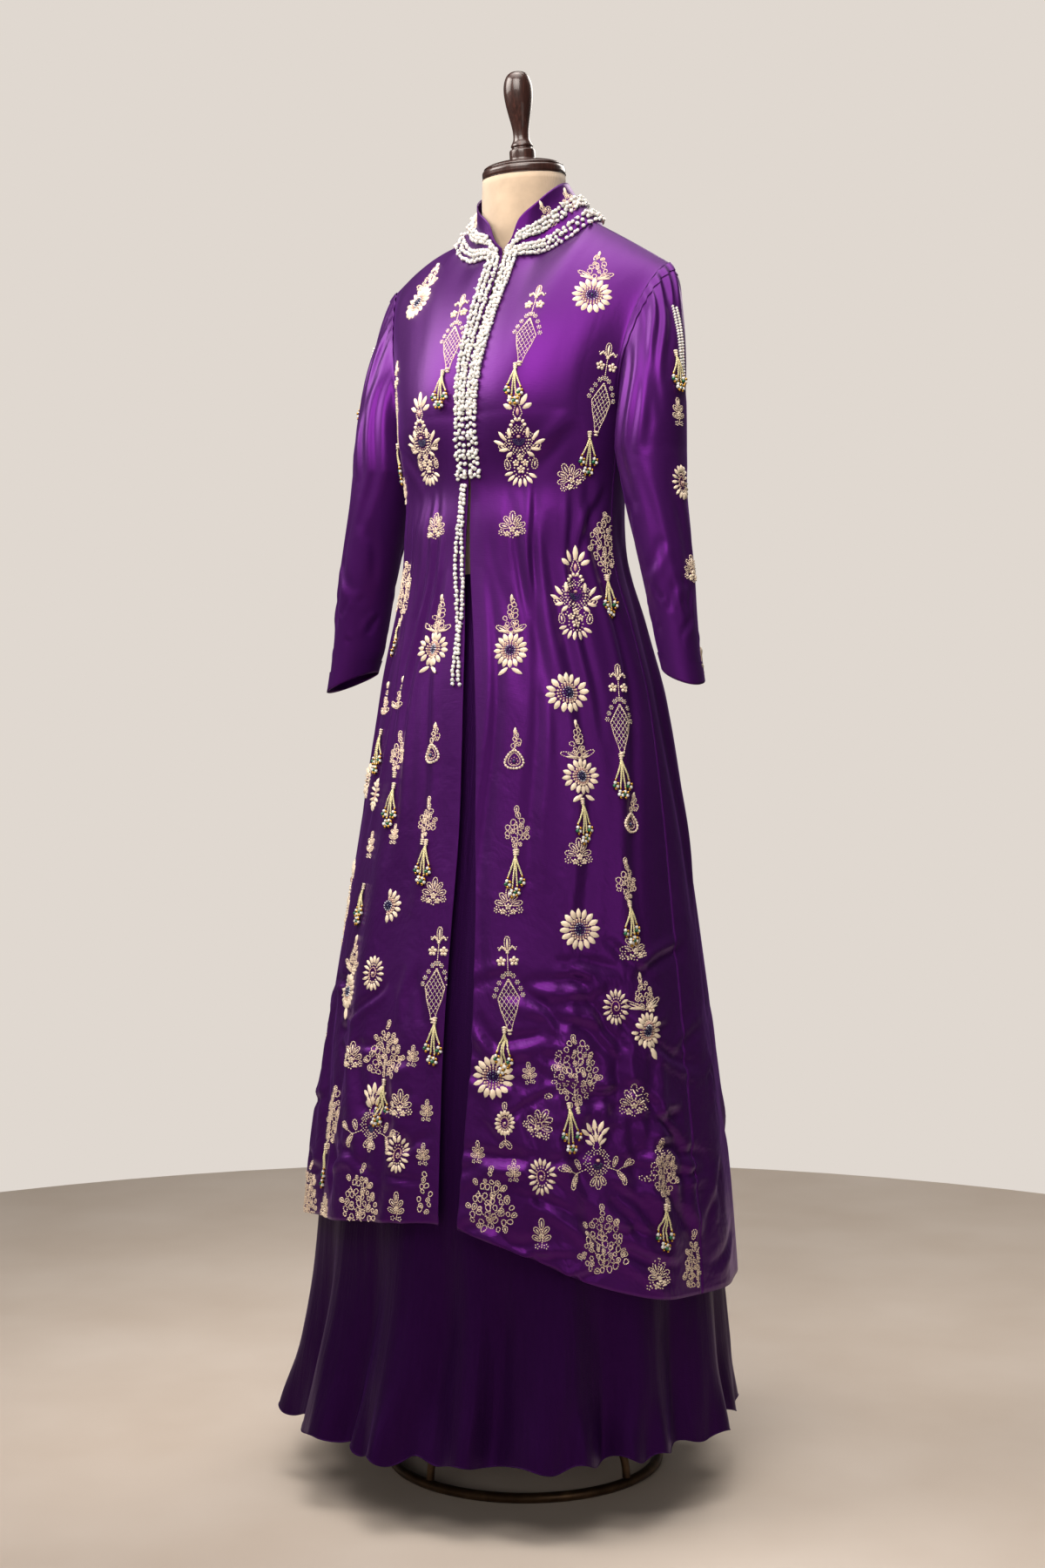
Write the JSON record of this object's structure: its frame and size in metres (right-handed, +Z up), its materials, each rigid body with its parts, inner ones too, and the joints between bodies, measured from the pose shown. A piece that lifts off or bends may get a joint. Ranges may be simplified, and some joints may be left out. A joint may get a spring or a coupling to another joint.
{
  "type": "jacket lehenga on a dress form",
  "caption": "Long open jacket with stand collar, pearl bands and beaded tassels over a flared skirt with a wavy hem, on a limbless dress form with a round stand.",
  "frame": {"origin": "on the floor, below the middle of the whole's width and depth", "axes": "+Z up, -Y towards the front, +X towards the wearer's left"},
  "size_m": [0.58, 0.5705, 1.7603],
  "materials": {
    "satin": "purple dull satin weave, soft sheen",
    "georgette": "deep purple sheer crinkled georgette",
    "lining": "deep purple matt lining",
    "linen": "natural plain-weave linen over a padded form",
    "pearls": "pearl beads with a soft lustre",
    "zari_cord": "twisted pale gold thread with bead ends",
    "turned_wood": "dark stained turned wood, glossy lacquer",
    "bronzed_steel": "antique bronze paint on steel tube"
  },
  "bodies": {
    "root": {"jacket_front_left": "satin", "jacket_front_right": "satin", "jacket_back": "satin", "sleeve_left": "satin", "sleeve_right": "satin", "collar": "satin", "pearl_row_lower": "pearls", "pearl_row_upper": "pearls", "pearl_band_left": "pearls", "pearl_band_right": "pearls", "pearl_strands_right": "pearls", "skirt": "georgette", "skirt_lining": "lining", "form_torso": "linen", "neck_cap": "turned_wood", "finial": "turned_wood", "pole": "bronzed_steel", "hub": "bronzed_steel", "base_hoop": "bronzed_steel", "base_leg_1": "bronzed_steel", "base_leg_2": "bronzed_steel", "base_leg_3": "bronzed_steel", "base_leg_4": "bronzed_steel", "tassel_1": "zari_cord", "tassel_2": "zari_cord", "tassel_3": "zari_cord", "tassel_4": "zari_cord", "tassel_5": "zari_cord", "tassel_6": "zari_cord", "tassel_7": "zari_cord", "tassel_8": "zari_cord", "tassel_9": "zari_cord", "tassel_10": "zari_cord", "tassel_11": "zari_cord", "tassel_12": "zari_cord", "tassel_13": "zari_cord", "tassel_14": "zari_cord", "tassel_15": "zari_cord", "tassel_16": "zari_cord", "tassel_17": "zari_cord", "tassel_18": "zari_cord", "tassel_19": "zari_cord", "tassel_20": "zari_cord", "tassel_21": "zari_cord", "tassel_22": "zari_cord"}
  },
  "joints": []
}
